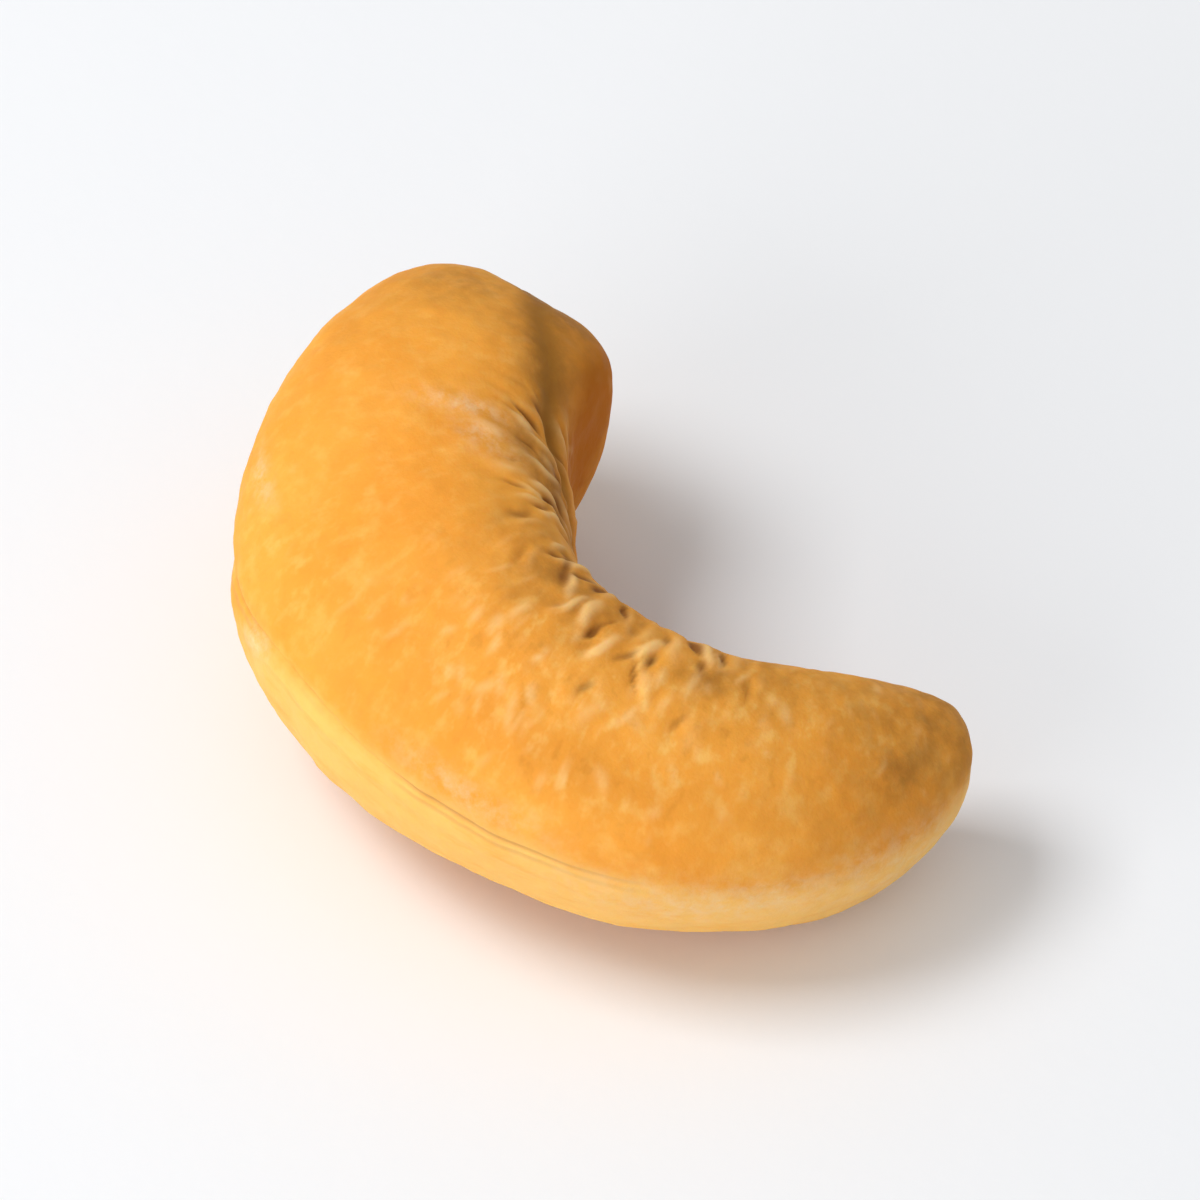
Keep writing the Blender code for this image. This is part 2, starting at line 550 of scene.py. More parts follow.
@dataclass(frozen=True)
class BayFolds:
    """Short brown pits in rows along the bay's edge, each across the edge, with a pale fold beside it.

    Each row has its turn from the main row and its strength. Sparser strokes lie under the crease.
    """

    seed: int = 4
    first: float = -0.52
    last: float = 0.6
    step: float = 0.053
    step_slip: Range = (0.8, 1.2)
    fade_in: Ramp = Ramp(-0.58, -0.33)
    fade_out: Ramp = Ramp(0.63, 0.38)
    main_row: Ramp = Ramp(-0.47, 0.28, low=0.15, high=1.65)
    rows: tuple[Range, ...] = ((-0.9, 0.5), (-0.45, 0.9), (-0.05, 1.0), (0.22, 0.6), (0.6, 0.2))
    lean: Ramp = Ramp(0.1, -0.3, high=-0.3)
    pit: Limits = Limits((-0.02, 0.02), (-0.14, 0.14), (-0.16, 0.16), (0.35, 0.75), (0.11, 0.21))
    pit_strengths: tuple[float, ...] = (0.25, 0.55, 0.8, 1.0)
    fold: Limits = Limits((0.4, 0.55), (-0.15, 0.15), (0.0, 0.0), (0.5, 1.0), (0.15, 0.25))
    fold_strength: Range = (0.35, 1.0)
    under: Limits = Limits((-0.03, 0.03), (-0.45, 0.3), (-0.2, 0.2), (0.25, 0.6), (0.1, 0.2))
    under_row: float = -0.5
    under_counts: tuple[int, ...] = (1, 1, 2)
    under_pit_share: float = 0.4
    under_pit_strength: float = 0.6
    under_fold_strength: float = 0.5
    pit_depth: float = 0.2
    fold_height: float = 0.13

    def strokes(self, brush: Brush) -> tuple[list[Stroke], list[Stroke]]:
        """Draws the pits and the folds.

        Args:
            brush: What lays them.

        Returns:
            The pits, and the folds.
        """
        draw = random.Random(self.seed)
        pits, folds = [], []
        t = self.first
        while t < self.last:
            fade = self.fade_in.at(t) * self.fade_out.at(t)
            for offset, weight in self.rows:
                spot = Place(t, self.main_row.at(t) + offset)
                pit, fold = self.pit_and_fold(draw, brush, spot, fade * weight)
                pits.append(pit)
                folds.append(fold)
            for _ in range(draw.choice(self.under_counts)):
                self.add_under(draw, brush, Place(t, self.under_row), fade, pits, folds)
            t += self.step * draw.uniform(*self.step_slip)
        return pits, folds

    def pit_and_fold(self, draw: random.Random, brush: Brush, spot: Place,
                     strength: float) -> tuple[Stroke, Stroke]:
        """Draws a pit and the fold beside it.

        Args:
            draw: The source of the random draws.
            brush: What lays them.
            spot: Where they lie, but for the draws.
            strength: Their strength, but for the draws.

        Returns:
            The pit and the fold.
        """
        around = spot.around + draw.uniform(*self.pit.turn_slip)
        place = Place(spot.t + draw.uniform(*self.pit.t_slip), around)
        lean = self.lean.at(spot.t) + draw.uniform(*self.pit.lean)
        size = self.pit.size(draw)
        pit = brush.stroke(place, lean, size, strength * draw.choice(self.pit_strengths))
        t = place.t + self.step * draw.uniform(*self.fold.t_slip)
        place = Place(t, around + draw.uniform(*self.fold.turn_slip))
        size = self.fold.size(draw)
        fold = brush.stroke(place, lean, size, strength * draw.uniform(*self.fold_strength))
        return pit, fold

    def add_under(self, draw: random.Random, brush: Brush, spot: Place, strength: float,
                  pits: list[Stroke], folds: list[Stroke]) -> None:
        """Draws a stroke under the crease and adds it to the pits or the folds.

        Args:
            draw: The source of the random draws.
            brush: What lays it.
            spot: Where it lies, but for the draws.
            strength: Its strength, but for its kind's.
            pits: The pits so far.
            folds: The folds so far.
        """
        t = spot.t + draw.uniform(*self.under.t_slip)
        place = Place(t, spot.around + draw.uniform(*self.under.turn_slip))
        size = self.under.size(draw)
        is_pit = draw.random() < self.under_pit_share
        lean = draw.uniform(*self.under.lean)
        weight = self.under_pit_strength if is_pit else self.under_fold_strength
        strokes = pits if is_pit else folds
        strokes.append(brush.stroke(place, lean, size, weight * strength))


@dataclass(frozen=True)
class Mottles:
    """Small pale raised strokes, close together on the belly and the arm and sparse elsewhere."""

    seed: int = 9
    count: int = 3600
    height: float = 0.04
    limits: Limits = Limits((-0.93, 0.96), (-math.pi, math.pi), (-0.15, 0.15), (0.25, 0.6), (0.12, 0.26))
    strength: Range = (0.15, 1.0)
    contrast: float = 1.5
    edge_strength: float = 0.4
    base: float = 0.06
    zones: tuple[Patch, ...] = (
        Patch(0.29, 2.1, 0.28, 0.6, 1.15),
        Patch(0.55, 1.8, 0.25, 0.7, 0.75),
        Patch(0.8, 1.8, 0.15, 0.8, 0.5),
        Patch(-0.2, 2.6, 0.3, 0.35, 0.35),
        Patch(0.2, -2.2, 0.6, 0.8, 0.4),
    )

    def strokes(self, brush: Brush) -> list[Stroke]:
        """Draws the mottles.

        Args:
            brush: What lays them.

        Returns:
            The strokes.
        """
        draw = random.Random(self.seed)
        made = []
        for _ in range(self.count):
            t = draw.uniform(*self.limits.t_slip)
            place = Place(t, draw.uniform(*self.limits.turn_slip))
            chance = draw.random()
            lean = draw.uniform(*self.limits.lean)
            size = self.limits.size(draw)
            strength = draw.uniform(*self.strength) ** self.contrast
            zone = self.share(place)
            if chance < zone:
                strength *= self.edge_strength + (1 - self.edge_strength) * zone
                made.append(brush.stroke(place, lean, size, strength))
        return made

    def share(self, place: Place) -> float:
        """How thickly the mottles lie at a place, from 0 to 1."""
        return max(self.base, strongest(self.zones, place))


@dataclass(frozen=True)
class Unevenness:
    """Fine unevenness of the whole skin, in millimetres."""

    height: float = 0.05
    length: float = 1.1
    fine_height: float = 0.022
    fine_length: float = 0.42

    def at(self, point: Vector) -> float:
        """Height of the unevenness at a point.

        Args:
            point: The point in metres.

        Returns:
            The height in millimetres.
        """
        coarse = noise.noise(point / (self.length * MM))
        fine = noise.noise(point / (self.fine_length * MM))
        return self.height * coarse + self.fine_height * fine


# Browner places: the tips, the crease by the lobe, the bay's edge, the arm
TOASTED = (
    Patch(1.0, 1.5, 0.3, 1.6, 1.0),
    Patch(0.83, 2.27, 0.1, 0.4, 0.95),
    Patch(0.6, 1.2, 0.28, 0.7, 0.65),
    Patch(0.47, 1.55, 0.07, 0.25, 1.0),
    Patch(-0.85, 0.7, 0.16, 0.7, 0.7),
    Patch(-0.87, -0.2, 0.2, 0.4, 1.3),
    Patch(-0.62, 0.0, 0.3, 0.32, 1.1),
    Patch(-0.17, 0.4, 0.18, 0.4, 1.4),
    Patch(0.15, 1.35, 0.22, 0.5, 0.95),
    Patch(0.9, -1.6, 0.2, 0.9, 0.5),
)
# Whitish worn places: beside the crease, on the back of the lobe, along the arm's rim
SCUFFED = (
    Patch(-0.38, 0.82, 0.035, 0.3, 0.75, -0.15),
    Patch(-0.28, 0.88, 0.07, 0.18, 0.65),
    Patch(-0.41, 2.45, 0.06, 0.1, 0.6),
    Patch(-0.21, -3.04, 0.035, 0.1, 0.8),
    Patch(0.19, 2.95, 0.12, 0.12, 0.5),
    Patch(0.55, -3.0, 0.22, 0.22, 0.6),
    Patch(0.8, -2.95, 0.13, 0.4, 0.6),
)
# Deeper orange places: painted shade on the lobe's flank in the bay and on the bay's lower wall, and a little
# real deeper roast on the top
BLUSHED_AND_SHADED = (
    Patch(-0.6, -0.75, 0.5, 0.5, 1.4),
    Patch(0.1, -0.5, 0.4, 0.5, 0.8),
    Patch(-0.75, 1.7, 0.2, 0.4, 0.3),
    Patch(0.3, 2.45, 0.3, 0.2, 0.3),
)


@dataclass(frozen=True)
class Cloud:
    """Soft noise in a finish: its waves to a unit, its finer layers and their strength, and its level."""

    waves: float
    layers: float = 2.0
    rough: float = 0.5
    level: Ramp = Ramp(0.0, 1.0)


class Bench:
    """Adds and joins the nodes of one node tree."""

    def __init__(self, tree: Tree) -> None:
        """Takes the tree to work on."""
        self.tree = tree

    def feed(self, socket: Socket, value: object) -> None:
        """Gives a socket a value, or joins another node's output to it.

        Args:
            socket: The input.
            value: A number, a vector, a colour or an output.
        """
        if isinstance(value, Socket):
            self.tree.links.new(value, socket)
        else:
            socket.default_value = value

    def node(self, kind: str, **values: object) -> bpy.types.Node:
        """Adds a node.

        Args:
            kind: The node's type.
            values: What its inputs get, by name with _ for a space.

        Returns:
            The node.
        """
        node = self.tree.nodes.new(kind)
        for name, value in values.items():
            self.feed(node.inputs[name.replace("_", " ")], value)
        return node

    def mark(self, mark: Mark) -> Socket:
        """Output that reads one of the mesh's marks."""
        node = self.tree.nodes.new("ShaderNodeAttribute")
        node.attribute_name = mark.value
        return node.outputs["Fac"]

    def math(self, operation: str, *values: object) -> Socket:
        """Output of a sum on numbers.

        Args:
            operation: The node's operation.
            values: Its inputs in order.

        Returns:
            The output.
        """
        node = self.tree.nodes.new("ShaderNodeMath")
        node.operation = operation
        for socket, value in zip(node.inputs, values):
            self.feed(socket, value)
        return node.outputs[0]

    def scaled(self, vector: Socket, scale: Triple) -> Socket:
        """Output of a vector with each part multiplied."""
        return self.node("ShaderNodeMapping", Vector=vector, Scale=scale).outputs[0]

    def noise(self, vector: Socket, cloud: Cloud) -> Socket:
        """Output of a cloud's plain noise, about 0.5 in the mean.

        Args:
            vector: Where to read it.
            cloud: The cloud, whose level isn't used.

        Returns:
            The output.
        """
        node = self.node("ShaderNodeTexNoise", Vector=vector, Scale=cloud.waves, Detail=cloud.layers,
                         Roughness=cloud.rough)
        return node.outputs[0]

    def ramp(self, value: Socket, ramp: Ramp) -> Socket:
        """Output of a ramp's level.

        Args:
            value: What it follows.
            ramp: The ramp.

        Returns:
            The output.
        """
        node = self.node("ShaderNodeMapRange", Value=value, From_Min=ramp.start, From_Max=ramp.end,
                         To_Min=ramp.low, To_Max=ramp.high)
        node.interpolation_type = "SMOOTHSTEP"
        return node.outputs[0]

    def cloud(self, vector: Socket, cloud: Cloud) -> Socket:
        """Output of a cloud's level."""
        return self.ramp(self.noise(vector, cloud), cloud.level)

    def mixed(self, factor: object, first: object, second: object) -> Socket:
        """Output of two colours mixed.

        Args:
            factor: Share of the second colour.
            first: The first colour.
            second: The second colour.

        Returns:
            The output.
        """
        node = self.tree.nodes.new("ShaderNodeMix")
        node.data_type = "RGBA"
        for socket, value in ((node.inputs[0], factor), (node.inputs[6], first), (node.inputs[7], second)):
            self.feed(socket, value)
        return node.outputs[2]


def fine_grain(fine_share: float = 0.45) -> Tree:
    """Makes the node group of a fine dry grain, which the kernel and the floor both have.

    Args:
        fine_share: Strength of the fine grains beside the coarse ones.

    Returns:
        The group, with inputs Vector, Coarse and Fine, in grains to a unit, and output Height.
    """
    group = bpy.data.node_groups.new("fine grain", "ShaderNodeTree")
    group.interface.new_socket("Vector", in_out="INPUT", socket_type="NodeSocketVector")
    group.interface.new_socket("Coarse", in_out="INPUT", socket_type="NodeSocketFloat")
    group.interface.new_socket("Fine", in_out="INPUT", socket_type="NodeSocketFloat")
    group.interface.new_socket("Height", in_out="OUTPUT", socket_type="NodeSocketFloat")
    bench = Bench(group)
    given = bench.node("NodeGroupInput").outputs
    coarse = bench.node("ShaderNodeTexNoise", Vector=given["Vector"], Scale=given["Coarse"], Detail=3.0)
    fine = bench.node("ShaderNodeTexNoise", Vector=given["Vector"], Scale=given["Fine"], Detail=2.0)
    height = bench.math("MULTIPLY_ADD", fine.outputs[0], fine_share, coarse.outputs[0])
    result = bench.node("NodeGroupOutput")
    bench.feed(result.inputs["Height"], height)
    return group


@dataclass(frozen=True)
class Grain:
    """How a finish takes the fine grain: its grains to a unit, and the strength and depth of its relief."""

    coarse: float
    fine: float
    strength: float
    depth: float

    def normal(self, bench: Bench, group: Tree, vector: Socket) -> Socket:
        """Normal of a surface with the grain.

        Args:
            bench: The material's nodes.
            group: The grain's node group.
            vector: Where to read it.

        Returns:
            The normal's output.
        """
        grain = bench.tree.nodes.new("ShaderNodeGroup")
        grain.node_tree = group
        for name, value in (("Vector", vector), ("Coarse", self.coarse), ("Fine", self.fine)):
            bench.feed(grain.inputs[name], value)
        bump = bench.node("ShaderNodeBump", Strength=self.strength, Distance=self.depth,
                          Height=grain.outputs[0])
        return bump.outputs[0]


@dataclass(frozen=True)
class Spot:
    """What the steps of the kernel's finish read: the nodes, and the place in millimetres and unrolled."""

    bench: Bench
    mm: Socket
    skin: Socket


@dataclass(frozen=True)
class RoastedSkin:
    """Finish of the kernel: golden roast, browner in the crease and at the tips, with a faint sheen.

    Clouds are read in millimetres, but for the streaks and the freckles, which follow the unrolled skin.
    """

    group: Tree
    golden: Colour = (0.86, 0.372, 0.054, 1.0)
    deep: Colour = (0.84, 0.335, 0.042, 1.0)
    pale: Colour = (0.93, 0.55, 0.15, 1.0)
    ochre: Colour = (0.62, 0.25, 0.03, 1.0)
    rim: Colour = (0.93, 0.56, 0.16, 1.0)
    cream: Colour = (0.92, 0.62, 0.27, 1.0)
    toast: Colour = (0.42, 0.175, 0.028, 1.0)
    crease: Colour = (0.32, 0.135, 0.018, 1.0)
    pit: Colour = (0.25, 0.085, 0.014, 1.0)
    scuff: Colour = (0.86, 0.60, 0.34, 1.0)
    # Deeper orange: painted shade on the bay's flank and lower wall, and real deeper roast on the top
    blush_and_shade: Colour = (0.5, 0.145, 0.002, 1.0)
    line: Colour = (0.42, 0.22, 0.08, 1.0)
    deep_cloud: Cloud = Cloud(0.17, 3, level=Ramp(0.4, 0.62))
    pale_cloud: Cloud = Cloud(0.75, 4, 0.6, Ramp(0.5, 0.78, high=0.4))
    specks: Cloud = Cloud(3.2, 3, 0.65, Ramp(0.55, 0.8, high=0.35))
    streak_waves: Triple = (62.0, 30.0, 1.0)
    streaks: Cloud = Cloud(1.0, 3, 0.6)
    light_streak: Ramp = Ramp(0.48, 0.72, high=0.75)
    dark_streak: Ramp = Ramp(0.46, 0.28, high=0.5)
    streaked: Ramp = Ramp(0.0, 0.8, low=0.25)
    toasting: Cloud = Cloud(1.1, 4, 0.6, Ramp(0.3, 0.7, low=0.45))
    # How unevenly the deeper orange lies, with its painted shade in the bay
    blushing_and_shading: Ramp = Ramp(0.45, 1.0, low=0.8)
    fold_shown: Ramp = Ramp(0.05, 0.8, high=0.6)
    pit_shown: Ramp = Ramp(0.08, 0.75, high=0.9)
    ragged: Cloud = Cloud(1.4, 4, 0.6)
    raggedness: float = 0.7
    rim_shown: Ramp = Ramp(0.1, 1.0, high=0.74)
    freckle_waves: Triple = (20.0, 55.0, 1.0)
    freckles: Cloud = Cloud(1.0, 4, 0.65, Ramp(0.48, 0.72, high=0.6))
    back_side: Ramp = Ramp(0.7, 0.35)
    bay_side: Ramp = Ramp(0.45, 0.8)
    line_shown: Ramp = Ramp(0.16, 0.02, high=0.42)
    second_line_shown: Ramp = Ramp(0.14, 0.02, high=0.28)
    crease_shown: Ramp = Ramp(1.3, 0.1, high=0.9)
    fissure_shown: Ramp = Ramp(0.2, 0.03, high=0.7)
    wear: Cloud = Cloud(2.0, 4, 0.7, Ramp(0.3, 0.75))
    dullness: Cloud = Cloud(0.9, 4, 0.6, Ramp(0.3, 0.7, low=0.58, high=0.72))
    grain: Grain = Grain(2.2, 9.0, 0.4, 0.06 * MM)
    sheen: float = 0.08
    glow: float = 0.3
    glow_depth: float = 0.9 * MM
    glow_colours: Triple = (1.0, 0.42, 0.14)

    def roast(self, spot: Spot) -> Socket:
        """Colour of the plain roasted surface.

        Args:
            spot: What to read.

        Returns:
            The colour's output.
        """
        bench = spot.bench
        colour = bench.mixed(bench.cloud(spot.mm, self.deep_cloud), self.golden, self.deep)
        colour = bench.mixed(bench.cloud(spot.mm, self.pale_cloud), colour, self.pale)
        streaked = bench.ramp(bench.mark(Mark.MOTTLED), self.streaked)
        streaks = bench.noise(bench.scaled(spot.skin, self.streak_waves), self.streaks)
        light = bench.math("MULTIPLY", bench.ramp(streaks, self.light_streak), streaked)
        colour = bench.mixed(light, colour, self.pale)
        dark = bench.math("MULTIPLY", bench.ramp(streaks, self.dark_streak), streaked)
        colour = bench.mixed(dark, colour, self.ochre)
        return bench.mixed(bench.cloud(spot.mm, self.specks), colour, self.deep)

    def toasted(self, spot: Spot, colour: Socket) -> Socket:
        """Colour after the blushed places, whose deeper orange is partly painted shade, the toasted places,
        the folds and the pits.

        Args:
            spot: What to read.
            colour: The colour so far.

        Returns:
            The colour's output.
        """
        bench = spot.bench
        uneven = bench.cloud(spot.mm, self.toasting)
        # Deeper orange: painted shade on the bay's flank and lower wall, and real deeper roast on the top
        blush_and_shade = bench.math("MULTIPLY", bench.mark(Mark.BLUSH_AND_SHADE), bench.ramp(uneven, self.blushing_and_shading))
        colour = bench.mixed(blush_and_shade, colour, self.blush_and_shade)
        toast = bench.math("MULTIPLY", bench.mark(Mark.TOAST), uneven)
        colour = bench.mixed(toast, colour, self.toast)
        colour = bench.mixed(bench.ramp(bench.mark(Mark.FOLD), self.fold_shown), colour, self.cream)
        return bench.mixed(bench.ramp(bench.mark(Mark.PIT), self.pit_shown), colour, self.pit)

    def rimmed(self, spot: Spot, ragged: Socket, colour: Socket) -> Socket:
        """Colour after the seam's pale rim with its golden freckles.

        Args:
            spot: What to read.
            ragged: What makes the rim's edge uneven.
            colour: The colour so far.

        Returns:
            The colour's output.
        """
        bench = spot.bench
        rim = bench.ramp(bench.math("ADD", bench.mark(Mark.RIM), ragged), self.rim_shown)
        colour = bench.mixed(rim, colour, self.rim)
        freckles = bench.cloud(bench.scaled(spot.skin, self.freckle_waves), self.freckles)
        return bench.mixed(bench.math("MULTIPLY", freckles, rim), colour, self.golden)

    def lined(self, bench: Bench, over: Socket, colour: Socket) -> Socket:
        """Colour after the seam's two fine lines on the back.

        Args:
            bench: The material's nodes.
            over: The distance from the seam in millimetres.
            colour: The colour so far.

        Returns:
            The colour's output.
        """
        line = bench.ramp(bench.math("ABSOLUTE", over), self.line_shown)
        off_second = bench.math("ABSOLUTE", bench.math("ADD", over, -SECOND_LINE))
        second = bench.ramp(off_second, self.second_line_shown)
        on_back = bench.ramp(bench.mark(Mark.BAY), self.back_side)
        lines = bench.math("MULTIPLY", bench.math("MAXIMUM", line, second), on_back)
        return bench.mixed(bench.math("MULTIPLY", lines, bench.mark(Mark.LINE)), colour, self.line)

    def creased(self, bench: Bench, over: Socket, ragged: Socket, colour: Socket) -> Socket:
        """Colour after the bay's crease and the fissure in it.

        Args:
            bench: The material's nodes.
            over: The distance from the seam in millimetres.
            ragged: What makes the crease's edge uneven.
            colour: The colour so far.

        Returns:
            The colour's output.
        """
        in_bay = bench.ramp(bench.mark(Mark.BAY), self.bay_side)
        off = bench.math("ABSOLUTE", bench.math("ADD", over, ragged))
        crease = bench.math("MULTIPLY", bench.ramp(off, self.crease_shown), in_bay)
        colour = bench.mixed(crease, colour, self.crease)
        fissure = bench.ramp(bench.math("ABSOLUTE", over), self.fissure_shown)
        fissure = bench.math("MULTIPLY", fissure, in_bay)
        return bench.mixed(bench.math("MULTIPLY", fissure, bench.mark(Mark.LINE)), colour, self.pit)

    def seamed(self, spot: Spot, colour: Socket) -> Socket:
        """Colour after the seam's rim, lines and crease.

        Args:
            spot: What to read.
            colour: The colour so far.

        Returns:
            The colour's output.
        """
        bench = spot.bench
        over = bench.mark(Mark.OVER_SEAM)
        ragged = bench.noise(spot.mm, self.ragged)
        ragged = bench.math("MULTIPLY_ADD", ragged, self.raggedness, -self.raggedness / 2)
        colour = self.rimmed(spot, ragged, colour)
        colour = self.lined(bench, over, colour)
        return self.creased(bench, over, ragged, colour)

    def worn(self, spot: Spot, colour: Socket) -> Socket:
        """Colour after the whitish scuffs."""
        scuff = spot.bench.math("MULTIPLY", spot.bench.mark(Mark.SCUFF), spot.bench.cloud(spot.mm, self.wear))
        return spot.bench.mixed(scuff, colour, self.scuff)

    def material(self) -> bpy.types.Material:
        """Makes the material.

        Returns:
            The finished material.
        """
        material = bpy.data.materials.new("roasted skin")
        material.use_nodes = True
        bench = Bench(material.node_tree)
        place = bench.node("ShaderNodeTexCoord").outputs["Object"]
        mm = bench.scaled(place, (1 / MM, 1 / MM, 1 / MM))
        unrolled = bench.tree.nodes.new("ShaderNodeUVMap")
        unrolled.uv_map = SKIN_MAP
        spot = Spot(bench, mm, unrolled.outputs[0])
        colour = self.worn(spot, self.seamed(spot, self.toasted(spot, self.roast(spot))))
        shader = material.node_tree.nodes["Principled BSDF"]
        bench.feed(shader.inputs["Base Color"], colour)
        bench.feed(shader.inputs["Roughness"], bench.cloud(mm, self.dullness))
        bench.feed(shader.inputs["Normal"], self.grain.normal(bench, self.group, mm))
        shader.inputs["Subsurface Weight"].default_value = self.glow
        shader.inputs["Subsurface Radius"].default_value = self.glow_colours
        shader.inputs["Subsurface Scale"].default_value = self.glow_depth
        shader.inputs["Specular IOR Level"].default_value = self.sheen
        return material


@dataclass(frozen=True)
class PaleBoard:
    """Finish of the floor: a pale matt board. Its cloud and grain are read in metres."""

    group: Tree
    colour: Colour = (0.88, 0.90, 0.93, 1.0)
    shade: Colour = (0.86, 0.88, 0.915, 1.0)
    shading: Cloud = Cloud(40.0, 3)
    grain: Grain = Grain(900.0, 2500.0, 0.15, 0.05 * MM)
    roughness: float = 0.75

    def material(self) -> bpy.types.Material:
        """Makes the material.

        Returns:
            The finished material.
        """
        material = bpy.data.materials.new("pale board")
        material.use_nodes = True
        bench = Bench(material.node_tree)
        shader = material.node_tree.nodes["Principled BSDF"]
        place = bench.node("ShaderNodeTexCoord").outputs["Object"]
        colour = bench.mixed(bench.noise(place, self.shading), self.colour, self.shade)
        bench.feed(shader.inputs["Base Color"], colour)
        bench.feed(shader.inputs["Normal"], self.grain.normal(bench, self.group, place))
        shader.inputs["Roughness"].default_value = self.roughness
        return material


@dataclass
class Kernel:
    """The whole kernel, one grown piece."""

    finish: RoastedSkin
    form: KernelForm = field(default_factory=KernelForm)
    bay_folds: BayFolds = field(default_factory=BayFolds)
    mottles: Mottles = field(default_factory=Mottles)
    unevenness: Unevenness = field(default_factory=Unevenness)
    rings: int = 340
    segments: int = 288
    middle_crowding: float = 0.6
    seam_crowding: float = 0.55
    belly_fade: float = 2.0
    mottle_paleness: float = 0.72
    near_cut: float = 3.1

    def __post_init__(self) -> None:
        """Makes the seam and the brush for the form."""
        self.seam = Seam(self.form)
        self.brush = Brush(self.form)

    def place_of(self, unit: Vector) -> Place:
        """Place on the kernel for a point of the unit sphere whose poles are the tips.

        Args:
            unit: The point on the sphere.

        Returns:
            The place, closer together in the middle and near the seam.
        """
        t = unit.z * (self.middle_crowding + (1 - self.middle_crowding) * unit.z ** 2)
        turn = math.atan2(unit.y, unit.x)
        return Place(t, turn - self.seam_crowding * math.sin(2 * turn) / 2)

    def marks(self, place: Place, pit: float, fold: float, mottle: float) -> dict[Mark, float]:
        """Marks at a place.

        Args:
            place: Where on the body.
            pit: Strength of the pits there.
            fold: Strength of the folds there.
            mottle: Strength of the mottles there.

        Returns:
            The value of each mark.
        """
        return {
            Mark.OVER_SEAM: self.seam.height_over(place),
            Mark.RIM: self.seam.rim(place),
            Mark.BAY: self.seam.bay_share(place),
            Mark.LINE: self.seam.sharpness(place),
            Mark.PIT: pit,
            Mark.FOLD: max(fold, self.mottle_paleness * mottle),
            Mark.MOTTLED: self.mottles.share(place),
            Mark.TOAST: strongest(TOASTED, place),
            Mark.SCUFF: strongest(SCUFFED, place),
            # Deeper orange: painted shade in the bay, and some real deeper roast on the top
            Mark.BLUSH_AND_SHADE: strongest(BLUSHED_AND_SHADED, place),
        }

    def strokes_on(self, bm: bmesh.types.BMesh) -> list[tuple[float, float, float]]:
        """Lays the pits, folds and mottles on the smooth body.

        Args:
            bm: The smooth body.

        Returns:
            Strength of the pits, the folds and the mottles at each point.
        """
        noise.seed_set(self.brush.waver_seed)
        skin = KDTree(len(bm.verts))
        for index, vert in enumerate(bm.verts):
            skin.insert(self.brush.waver(vert.co), index)
        skin.balance()
        families = (*self.bay_folds.strokes(self.brush), self.mottles.strokes(self.brush))
        return list(zip(*(lay(strokes, skin, len(bm.verts)) for strokes in families)))

    def shape(self, bm: bmesh.types.BMesh) -> None:
        """Turns the unit sphere into the kernel and marks it.

        Args:
            bm: The sphere.
        """
        layers = {mark: bm.verts.layers.float.new(mark.value) for mark in Mark}
        places = [self.place_of(vert.co) for vert in bm.verts]
        for vert, place in zip(bm.verts, places):
            vert.co = self.form.point(place)
        bm.normal_update()
        normals = [vert.normal.copy() for vert in bm.verts]
        strokes = self.strokes_on(bm)
        for vert, place, normal, (pit, fold, mottle) in zip(bm.verts, places, normals, strokes):
            fade = smooth(self.belly_fade * (1 + normal.z))
            for mark, value in self.marks(place, pit, fold, mottle).items():
                vert[layers[mark]] = value
            height = self.seam.relief(place) + self.form.swell(vert.co) + self.unevenness.at(vert.co)
            height += self.mottles.height * mottle + self.bay_folds.fold_height * fold
            height -= self.bay_folds.pit_depth * pit
            vert.co += normal * height * fade * MM
            vert.co.z += self.form.foot_rise(place) * MM
            vert.co.z = max(0.0, vert.co.z - self.form.foot_sink * MM)
        self.unroll(bm, places)

    def unroll(self, bm: bmesh.types.BMesh, places: list[Place]) -> None:
        """Lays the skin out flat in the mesh's UV map, cut along the seam on the back.

        Args:
            bm: The kernel's mesh.
            places: The place of each of its points.
        """
        bm.verts.index_update()
        layer = bm.loops.layers.uv.new(SKIN_MAP)
        for face in bm.faces:
            corners = [places[loop.vert.index] for loop in face.loops]
            turns = [corner.around for corner in corners]
            clear = sum(turn for turn in turns if abs(turn) < self.near_cut)
            half = Grown.UPPER if clear > 0 else Grown.LOWER
            turns = [turn if abs(turn) < self.near_cut else half.value * abs(turn) for turn in turns]
            if len(corners) == 3:
                pole = max(range(3), key=lambda corner: abs(corners[corner].t))
                turns[pole] = (sum(turns) - turns[pole]) / 2
            for loop, corner, turn in zip(face.loops, corners, turns):
                loop[layer].uv = ((corner.t + 1) / 2, turn / math.tau + 0.5)

    def fit_to_box(self, bm: bmesh.types.BMesh, low: Vector, high: Vector) -> None:
        """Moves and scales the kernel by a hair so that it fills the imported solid's box.

        Args:
            bm: The kernel's mesh.
            low: The box's lowest corner.
            high: The box's highest corner.
        """
        own_low = Vector(min(vert.co[axis] for vert in bm.verts) for axis in range(3))
        own_high = Vector(max(vert.co[axis] for vert in bm.verts) for axis in range(3))
        scale = Vector((high[axis] - low[axis]) / (own_high[axis] - own_low[axis]) for axis in range(3))
        bmesh.ops.translate(bm, verts=bm.verts, vec=-own_low)
        bmesh.ops.scale(bm, verts=bm.verts, vec=scale)
        bmesh.ops.translate(bm, verts=bm.verts, vec=low)

    def build(self) -> bpy.types.Object:
        """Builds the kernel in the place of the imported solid.

        Returns:
            The kernel's object.
        """
        bm = bmesh.new()
        bmesh.ops.create_uvsphere(bm, u_segments=self.segments, v_segments=self.rings, radius=1)
        self.shape(bm)
        self.fit_to_box(bm, *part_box("kernel"))
        mesh = bpy.data.meshes.new("roasted_kernel")
        bm.to_mesh(mesh)
        bm.free()
        mesh.shade_smooth()
        mesh.materials.append(self.finish.material())
        kernel = bpy.data.objects.new("roasted_kernel", mesh)
        bpy.context.scene.collection.objects.link(kernel)
        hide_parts("kernel")
        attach(kernel, "root")
        return kernel


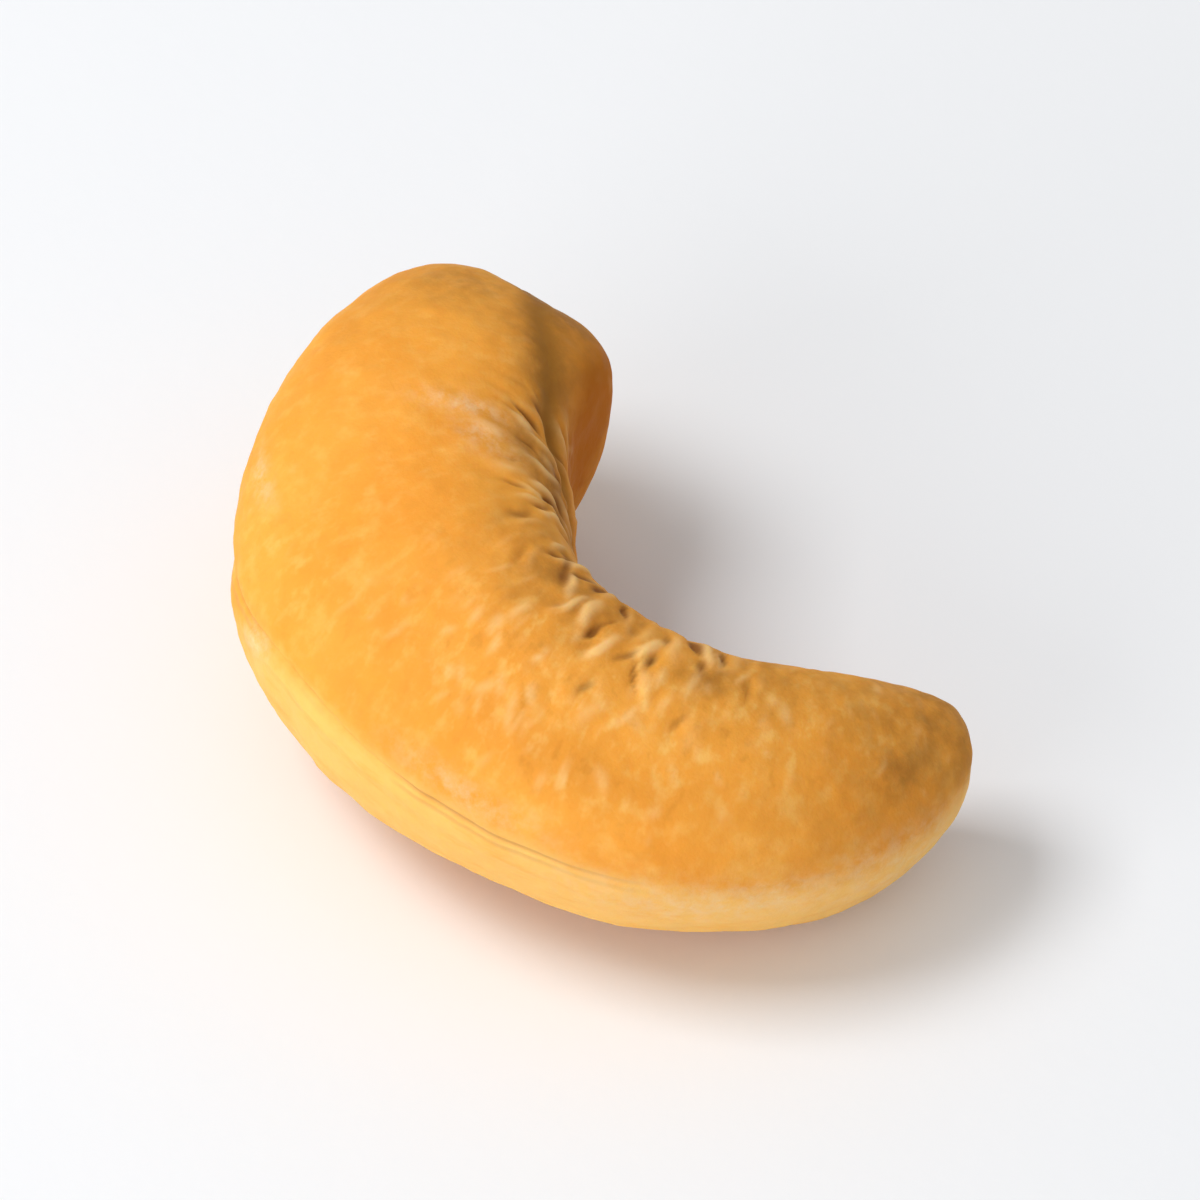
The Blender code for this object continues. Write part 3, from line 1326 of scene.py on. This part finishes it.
@dataclass
class Studio:
    """A pale floor under plain soft light. Sizes and places are in metres, powers in watts."""

    board: PaleBoard
    floor_size: float = 4.0
    floor_squares: int = 8
    air_strength: float = 0.5
    air_colour: Colour = (1.0, 0.99, 0.97, 1.0)
    key_power: float = 0.68
    key_size: float = 0.16
    key_place: Triple = (-0.13, -0.13, 0.30)
    fill_power: float = 0.8
    fill_size: float = 0.3
    fill_place: Triple = (0.02, -0.40, 0.12)

    def floor(self) -> bpy.types.Object:
        """Builds the floor.

        Returns:
            The floor's object.
        """
        bm = bmesh.new()
        squares = self.floor_squares
        bmesh.ops.create_grid(bm, x_segments=squares, y_segments=squares, size=self.floor_size / 2)
        mesh = bpy.data.meshes.new("floor")
        bm.to_mesh(mesh)
        bm.free()
        mesh.materials.append(self.board.material())
        floor = bpy.data.objects.new("floor", mesh)
        bpy.context.scene.collection.objects.link(floor)
        return floor

    def light(self, name: str, power: float, size: float, place: Triple) -> bpy.types.Object:
        """Hangs a soft square light that faces the kernel.

        Args:
            name: The light's name.
            power: Its power in watts.
            size: Its width in metres.
            place: Where it hangs, in metres.

        Returns:
            The light's object.
        """
        data = bpy.data.lights.new(name, "AREA")
        data.energy = power
        data.size = size
        light = bpy.data.objects.new(name, data)
        light.location = place
        light.rotation_euler = Vector(place).to_track_quat("Z", "Y").to_euler()
        bpy.context.scene.collection.objects.link(light)
        return light

    def air(self) -> None:
        """Gives the scene an even pale light from all round."""
        world = bpy.data.worlds.new("pale air")
        world.use_nodes = True
        background = world.node_tree.nodes["Background"]
        background.inputs["Color"].default_value = self.air_colour
        background.inputs["Strength"].default_value = self.air_strength
        bpy.context.scene.world = world

    def build(self) -> None:
        """Builds the floor, the lights and the air, and sets plain colours for the picture."""
        self.floor()
        self.light("key", self.key_power, self.key_size, self.key_place)
        self.light("fill", self.fill_power, self.fill_size, self.fill_place)
        self.air()
        bpy.context.scene.view_settings.view_transform = "Standard"


@dataclass(frozen=True)
class PictureCamera:
    """Camera at the photograph's viewing angle. Its sizes are in metres."""

    azimuth: float = math.radians(48.1)
    elevation: float = math.radians(48)
    distance: float = 257 * MM
    frame_width: float = 36.5 * MM
    aim_right: float = 1.64 * MM
    aim_up: float = 1.2 * MM
    middle_height: float = 5.5 * MM
    nearest: float = 10 * MM

    def build(self) -> bpy.types.Object:
        """Makes the camera and gives it to the scene.

        Returns:
            The camera's object.
        """
        level, rise = math.cos(self.elevation), math.sin(self.elevation)
        right = Vector((math.cos(self.azimuth), math.sin(self.azimuth), 0))
        back = Vector((math.sin(self.azimuth) * level, -math.cos(self.azimuth) * level, rise))
        up = back.cross(right)
        data = bpy.data.cameras.new("picture")
        data.lens = data.sensor_width * self.distance / self.frame_width
        data.clip_start = self.nearest
        camera = bpy.data.objects.new("picture", data)
        aim = right * self.aim_right + up * self.aim_up + Vector((0, 0, self.middle_height))
        turn = Matrix((right, up, back)).transposed().to_4x4()
        camera.matrix_world = Matrix.Translation(aim + back * self.distance) @ turn
        bpy.context.scene.collection.objects.link(camera)
        bpy.context.scene.camera = camera
        return camera


def main() -> None:
    """Builds the kernel, its studio and the camera, and reports each piece."""
    logging.basicConfig(level=logging.INFO, format="%(name)s: %(message)s")
    grain = fine_grain()
    kernel = Kernel(RoastedSkin(grain)).build()
    mesh = kernel.data
    log.info("%s has %d points and %d faces", kernel.name, len(mesh.vertices), len(mesh.polygons))
    Studio(PaleBoard(grain)).build()
    log.info("floor and lights are in place")
    camera = PictureCamera().build()
    log.info("%s camera has a lens of %.0f mm", camera.name, camera.data.lens)


if __name__ == "__main__":
    main()
